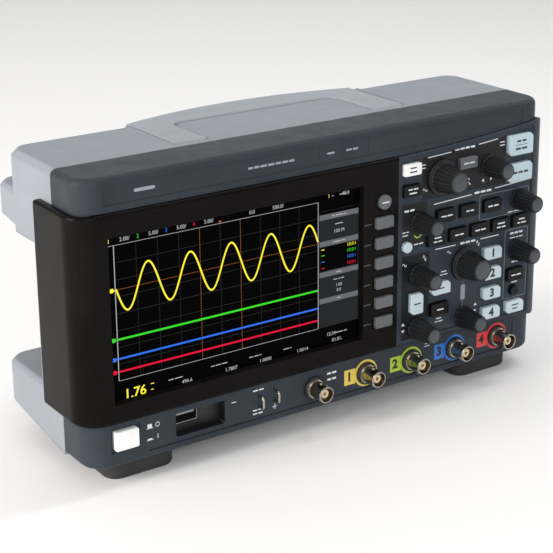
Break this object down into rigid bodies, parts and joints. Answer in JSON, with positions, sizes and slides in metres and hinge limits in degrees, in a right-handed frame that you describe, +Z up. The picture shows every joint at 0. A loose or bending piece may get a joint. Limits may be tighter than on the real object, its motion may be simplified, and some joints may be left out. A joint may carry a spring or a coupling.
{
  "type": "oscilloscope",
  "caption": "Benchtop digital oscilloscope with colour display, control keys and knobs, coaxial inputs, folding handle and tilt legs.",
  "frame": {"origin": "middle of the instrument's bounding box in X and Y, at the underside of its feet", "axes": "+X to the right seen from the front, +Y to the back, +Z up; the display faces -Y"},
  "size_m": [0.314, 0.1204, 0.168],
  "materials": {
    "frame_plastic": "satin, moulded",
    "bezel_gloss": "gloss",
    "panel_plastic": "satin with printed inlay",
    "cover_plastic": "fine texture",
    "steel": "zinc plated",
    "foot_rubber": "matt",
    "foot_plastic": "matt",
    "nickel": "nickel plated",
    "black_plastic": "matt",
    "display_glass": "gloss, lit from behind",
    "circuit_board": "solder resist",
    "sheet_steel": "zinc plated",
    "key_light": "satin, translucent",
    "key_blue": "satin, translucent",
    "key_white": "satin",
    "key_grey": "satin",
    "key_dark": "satin",
    "knob_plastic": "satin"
  },
  "bodies": {
    "case": {"front_frame": "frame_plastic", "display_bezel": "bezel_gloss", "control_panel": "panel_plastic", "rear_cover": "cover_plastic", "handle_pins": "steel", "feet": "foot_rubber", "bnc_connectors": "nickel", "usb_host_port": "steel", "probe_terminals": "nickel", "mains_inlet": "black_plastic", "lcd_panel": "display_glass", "keypad_board": "circuit_board", "main_board": "circuit_board", "chassis": "sheet_steel", "power_supply": "circuit_board", "case_screws": "steel"},
    "auto_scale_key_body": {"auto_scale_key": "key_white"},
    "default_setup_key_body": {"default_setup_key": "key_dark"},
    "acquire_key_body": {"acquire_key": "key_grey"},
    "run_stop_key_body": {"run_stop_key": "key_blue"},
    "single_key_body": {"single_key": "key_blue"},
    "analyze_key_body": {"analyze_key": "key_dark"},
    "measure_key_body": {"measure_key": "key_dark"},
    "cursors_key_body": {"cursors_key": "key_dark"},
    "save_recall_key_body": {"save_recall_key": "key_dark"},
    "utility_key_body": {"utility_key": "key_dark"},
    "display_key_body": {"display_key": "key_dark"},
    "quick_action_key_body": {"quick_action_key": "key_dark"},
    "save_usb_key_body": {"save_usb_key": "key_dark"},
    "intensity_key_body": {"intensity_key": "key_light"},
    "fft_key_body": {"fft_key": "key_light"},
    "math_key_body": {"math_key": "key_light"},
    "help_key_body": {"help_key": "key_dark"},
    "channel_1_key_body": {"channel_1_key": "key_light"},
    "channel_2_key_body": {"channel_2_key": "key_light"},
    "channel_3_key_body": {"channel_3_key": "key_light"},
    "channel_4_key_body": {"channel_4_key": "key_light"},
    "trigger_key_body": {"trigger_key": "key_dark"},
    "force_key_body": {"force_key": "key_dark"},
    "wave_gen_key_body": {"wave_gen_key": "key_light"},
    "back_key_body": {"back_key": "key_grey"},
    "softkey_1_body": {"softkey_1": "key_grey"},
    "softkey_2_body": {"softkey_2": "key_grey"},
    "softkey_3_body": {"softkey_3": "key_grey"},
    "softkey_4_body": {"softkey_4": "key_grey"},
    "softkey_5_body": {"softkey_5": "key_grey"},
    "softkey_6_body": {"softkey_6": "key_grey"},
    "power_button_body": {"power_button": "key_white"},
    "horizontal_scale_knob_body": {"horizontal_scale_knob": "knob_plastic"},
    "horizontal_position_knob_body": {"horizontal_position_knob": "knob_plastic"},
    "cursors_knob_body": {"cursors_knob": "knob_plastic"},
    "entry_knob_body": {"entry_knob": "knob_plastic"},
    "math_scale_knob_body": {"math_scale_knob": "knob_plastic"},
    "vertical_scale_knob_body": {"vertical_scale_knob": "knob_plastic"},
    "trigger_level_knob_body": {"trigger_level_knob": "knob_plastic"},
    "math_offset_knob_body": {"math_offset_knob": "knob_plastic"},
    "vertical_offset_knob_body": {"vertical_offset_knob": "knob_plastic"},
    "handle_body": {"handle": "frame_plastic"},
    "tilt_leg_left_body": {"tilt_leg_left": "foot_plastic"},
    "tilt_leg_right_body": {"tilt_leg_right": "foot_plastic"}
  },
  "joints": [
    {"name": "auto_scale_key_press", "type": "slide", "parent": "case", "child": "auto_scale_key_body", "axis": [0, 1, 0], "range_m": [0, 0.001], "stiffness_N_per_m": 600, "springref_m": -0.001},
    {"name": "default_setup_key_press", "type": "slide", "parent": "case", "child": "default_setup_key_body", "axis": [0, 1, 0], "range_m": [0, 0.001], "stiffness_N_per_m": 600, "springref_m": -0.001},
    {"name": "acquire_key_press", "type": "slide", "parent": "case", "child": "acquire_key_body", "axis": [0, 1, 0], "range_m": [0, 0.001], "stiffness_N_per_m": 600, "springref_m": -0.001},
    {"name": "run_stop_key_press", "type": "slide", "parent": "case", "child": "run_stop_key_body", "axis": [0, 1, 0], "range_m": [0, 0.001], "stiffness_N_per_m": 600, "springref_m": -0.001},
    {"name": "single_key_press", "type": "slide", "parent": "case", "child": "single_key_body", "axis": [0, 1, 0], "range_m": [0, 0.001], "stiffness_N_per_m": 600, "springref_m": -0.001},
    {"name": "analyze_key_press", "type": "slide", "parent": "case", "child": "analyze_key_body", "axis": [0, 1, 0], "range_m": [0, 0.001], "stiffness_N_per_m": 600, "springref_m": -0.001},
    {"name": "measure_key_press", "type": "slide", "parent": "case", "child": "measure_key_body", "axis": [0, 1, 0], "range_m": [0, 0.001], "stiffness_N_per_m": 600, "springref_m": -0.001},
    {"name": "cursors_key_press", "type": "slide", "parent": "case", "child": "cursors_key_body", "axis": [0, 1, 0], "range_m": [0, 0.001], "stiffness_N_per_m": 600, "springref_m": -0.001},
    {"name": "save_recall_key_press", "type": "slide", "parent": "case", "child": "save_recall_key_body", "axis": [0, 1, 0], "range_m": [0, 0.001], "stiffness_N_per_m": 600, "springref_m": -0.001},
    {"name": "utility_key_press", "type": "slide", "parent": "case", "child": "utility_key_body", "axis": [0, 1, 0], "range_m": [0, 0.001], "stiffness_N_per_m": 600, "springref_m": -0.001},
    {"name": "display_key_press", "type": "slide", "parent": "case", "child": "display_key_body", "axis": [0, 1, 0], "range_m": [0, 0.001], "stiffness_N_per_m": 600, "springref_m": -0.001},
    {"name": "quick_action_key_press", "type": "slide", "parent": "case", "child": "quick_action_key_body", "axis": [0, 1, 0], "range_m": [0, 0.001], "stiffness_N_per_m": 600, "springref_m": -0.001},
    {"name": "save_usb_key_press", "type": "slide", "parent": "case", "child": "save_usb_key_body", "axis": [0, 1, 0], "range_m": [0, 0.001], "stiffness_N_per_m": 600, "springref_m": -0.001},
    {"name": "intensity_key_press", "type": "slide", "parent": "case", "child": "intensity_key_body", "axis": [0, 1, 0], "range_m": [0, 0.001], "stiffness_N_per_m": 600, "springref_m": -0.001},
    {"name": "fft_key_press", "type": "slide", "parent": "case", "child": "fft_key_body", "axis": [0, 1, 0], "range_m": [0, 0.001], "stiffness_N_per_m": 600, "springref_m": -0.001},
    {"name": "math_key_press", "type": "slide", "parent": "case", "child": "math_key_body", "axis": [0, 1, 0], "range_m": [0, 0.001], "stiffness_N_per_m": 600, "springref_m": -0.001},
    {"name": "help_key_press", "type": "slide", "parent": "case", "child": "help_key_body", "axis": [0, 1, 0], "range_m": [0, 0.001], "stiffness_N_per_m": 600, "springref_m": -0.001},
    {"name": "channel_1_key_press", "type": "slide", "parent": "case", "child": "channel_1_key_body", "axis": [0, 1, 0], "range_m": [0, 0.001], "stiffness_N_per_m": 600, "springref_m": -0.001},
    {"name": "channel_2_key_press", "type": "slide", "parent": "case", "child": "channel_2_key_body", "axis": [0, 1, 0], "range_m": [0, 0.001], "stiffness_N_per_m": 600, "springref_m": -0.001},
    {"name": "channel_3_key_press", "type": "slide", "parent": "case", "child": "channel_3_key_body", "axis": [0, 1, 0], "range_m": [0, 0.001], "stiffness_N_per_m": 600, "springref_m": -0.001},
    {"name": "channel_4_key_press", "type": "slide", "parent": "case", "child": "channel_4_key_body", "axis": [0, 1, 0], "range_m": [0, 0.001], "stiffness_N_per_m": 600, "springref_m": -0.001},
    {"name": "trigger_key_press", "type": "slide", "parent": "case", "child": "trigger_key_body", "axis": [0, 1, 0], "range_m": [0, 0.001], "stiffness_N_per_m": 600, "springref_m": -0.001},
    {"name": "force_key_press", "type": "slide", "parent": "case", "child": "force_key_body", "axis": [0, 1, 0], "range_m": [0, 0.001], "stiffness_N_per_m": 600, "springref_m": -0.001},
    {"name": "wave_gen_key_press", "type": "slide", "parent": "case", "child": "wave_gen_key_body", "axis": [0, 1, 0], "range_m": [0, 0.001], "stiffness_N_per_m": 600, "springref_m": -0.001},
    {"name": "back_key_press", "type": "slide", "parent": "case", "child": "back_key_body", "axis": [0, 1, 0], "range_m": [0, 0.001], "stiffness_N_per_m": 600, "springref_m": -0.001},
    {"name": "softkey_1_press", "type": "slide", "parent": "case", "child": "softkey_1_body", "axis": [0, 1, 0], "range_m": [0, 0.001], "stiffness_N_per_m": 600, "springref_m": -0.001},
    {"name": "softkey_2_press", "type": "slide", "parent": "case", "child": "softkey_2_body", "axis": [0, 1, 0], "range_m": [0, 0.001], "stiffness_N_per_m": 600, "springref_m": -0.001},
    {"name": "softkey_3_press", "type": "slide", "parent": "case", "child": "softkey_3_body", "axis": [0, 1, 0], "range_m": [0, 0.001], "stiffness_N_per_m": 600, "springref_m": -0.001},
    {"name": "softkey_4_press", "type": "slide", "parent": "case", "child": "softkey_4_body", "axis": [0, 1, 0], "range_m": [0, 0.001], "stiffness_N_per_m": 600, "springref_m": -0.001},
    {"name": "softkey_5_press", "type": "slide", "parent": "case", "child": "softkey_5_body", "axis": [0, 1, 0], "range_m": [0, 0.001], "stiffness_N_per_m": 600, "springref_m": -0.001},
    {"name": "softkey_6_press", "type": "slide", "parent": "case", "child": "softkey_6_body", "axis": [0, 1, 0], "range_m": [0, 0.001], "stiffness_N_per_m": 600, "springref_m": -0.001},
    {"name": "power_button_latch", "type": "slide", "parent": "case", "child": "power_button_body", "axis": [0, 1, 0], "range_m": [0, 0.0025]},
    {"name": "horizontal_scale_knob_turn", "type": "hinge", "parent": "case", "child": "horizontal_scale_knob_body", "pos_m": [0.0742, -0.04375, 0.1334], "axis": [0, -1, 0], "continuous": true},
    {"name": "horizontal_position_knob_turn", "type": "hinge", "parent": "case", "child": "horizontal_position_knob_body", "pos_m": [0.11, -0.04375, 0.134], "axis": [0, -1, 0], "continuous": true},
    {"name": "cursors_knob_turn", "type": "hinge", "parent": "case", "child": "cursors_knob_body", "pos_m": [0.1338, -0.04375, 0.1099], "axis": [0, -1, 0], "continuous": true},
    {"name": "entry_knob_turn", "type": "hinge", "parent": "case", "child": "entry_knob_body", "pos_m": [0.0588, -0.04375, 0.1092], "axis": [0, -1, 0], "continuous": true},
    {"name": "math_scale_knob_turn", "type": "hinge", "parent": "case", "child": "math_scale_knob_body", "pos_m": [0.0585, -0.04375, 0.0775], "axis": [0, -1, 0], "continuous": true},
    {"name": "vertical_scale_knob_turn", "type": "hinge", "parent": "case", "child": "vertical_scale_knob_body", "pos_m": [0.0933, -0.04375, 0.0777], "axis": [0, -1, 0], "continuous": true},
    {"name": "trigger_level_knob_turn", "type": "hinge", "parent": "case", "child": "trigger_level_knob_body", "pos_m": [0.1335, -0.04375, 0.0783], "axis": [0, -1, 0], "continuous": true},
    {"name": "math_offset_knob_turn", "type": "hinge", "parent": "case", "child": "math_offset_knob_body", "pos_m": [0.0581, -0.04375, 0.0449], "axis": [0, -1, 0], "continuous": true},
    {"name": "vertical_offset_knob_turn", "type": "hinge", "parent": "case", "child": "vertical_offset_knob_body", "pos_m": [0.0931, -0.04375, 0.0444], "axis": [0, -1, 0], "continuous": true},
    {"name": "handle_fold", "type": "hinge", "parent": "case", "child": "handle_body", "pos_m": [0, -0.00025, 0.162], "axis": [1, 0, 0], "range_deg": [0, 90]},
    {"name": "tilt_leg_left_fold", "type": "hinge", "parent": "case", "child": "tilt_leg_left_body", "pos_m": [-0.1185, -0.01475, 0.005], "axis": [-1, 0, 0], "range_deg": [0, 85]},
    {"name": "tilt_leg_right_fold", "type": "hinge", "parent": "case", "child": "tilt_leg_right_body", "pos_m": [0.1185, -0.01475, 0.005], "axis": [-1, 0, 0], "range_deg": [0, 85]}
  ]
}
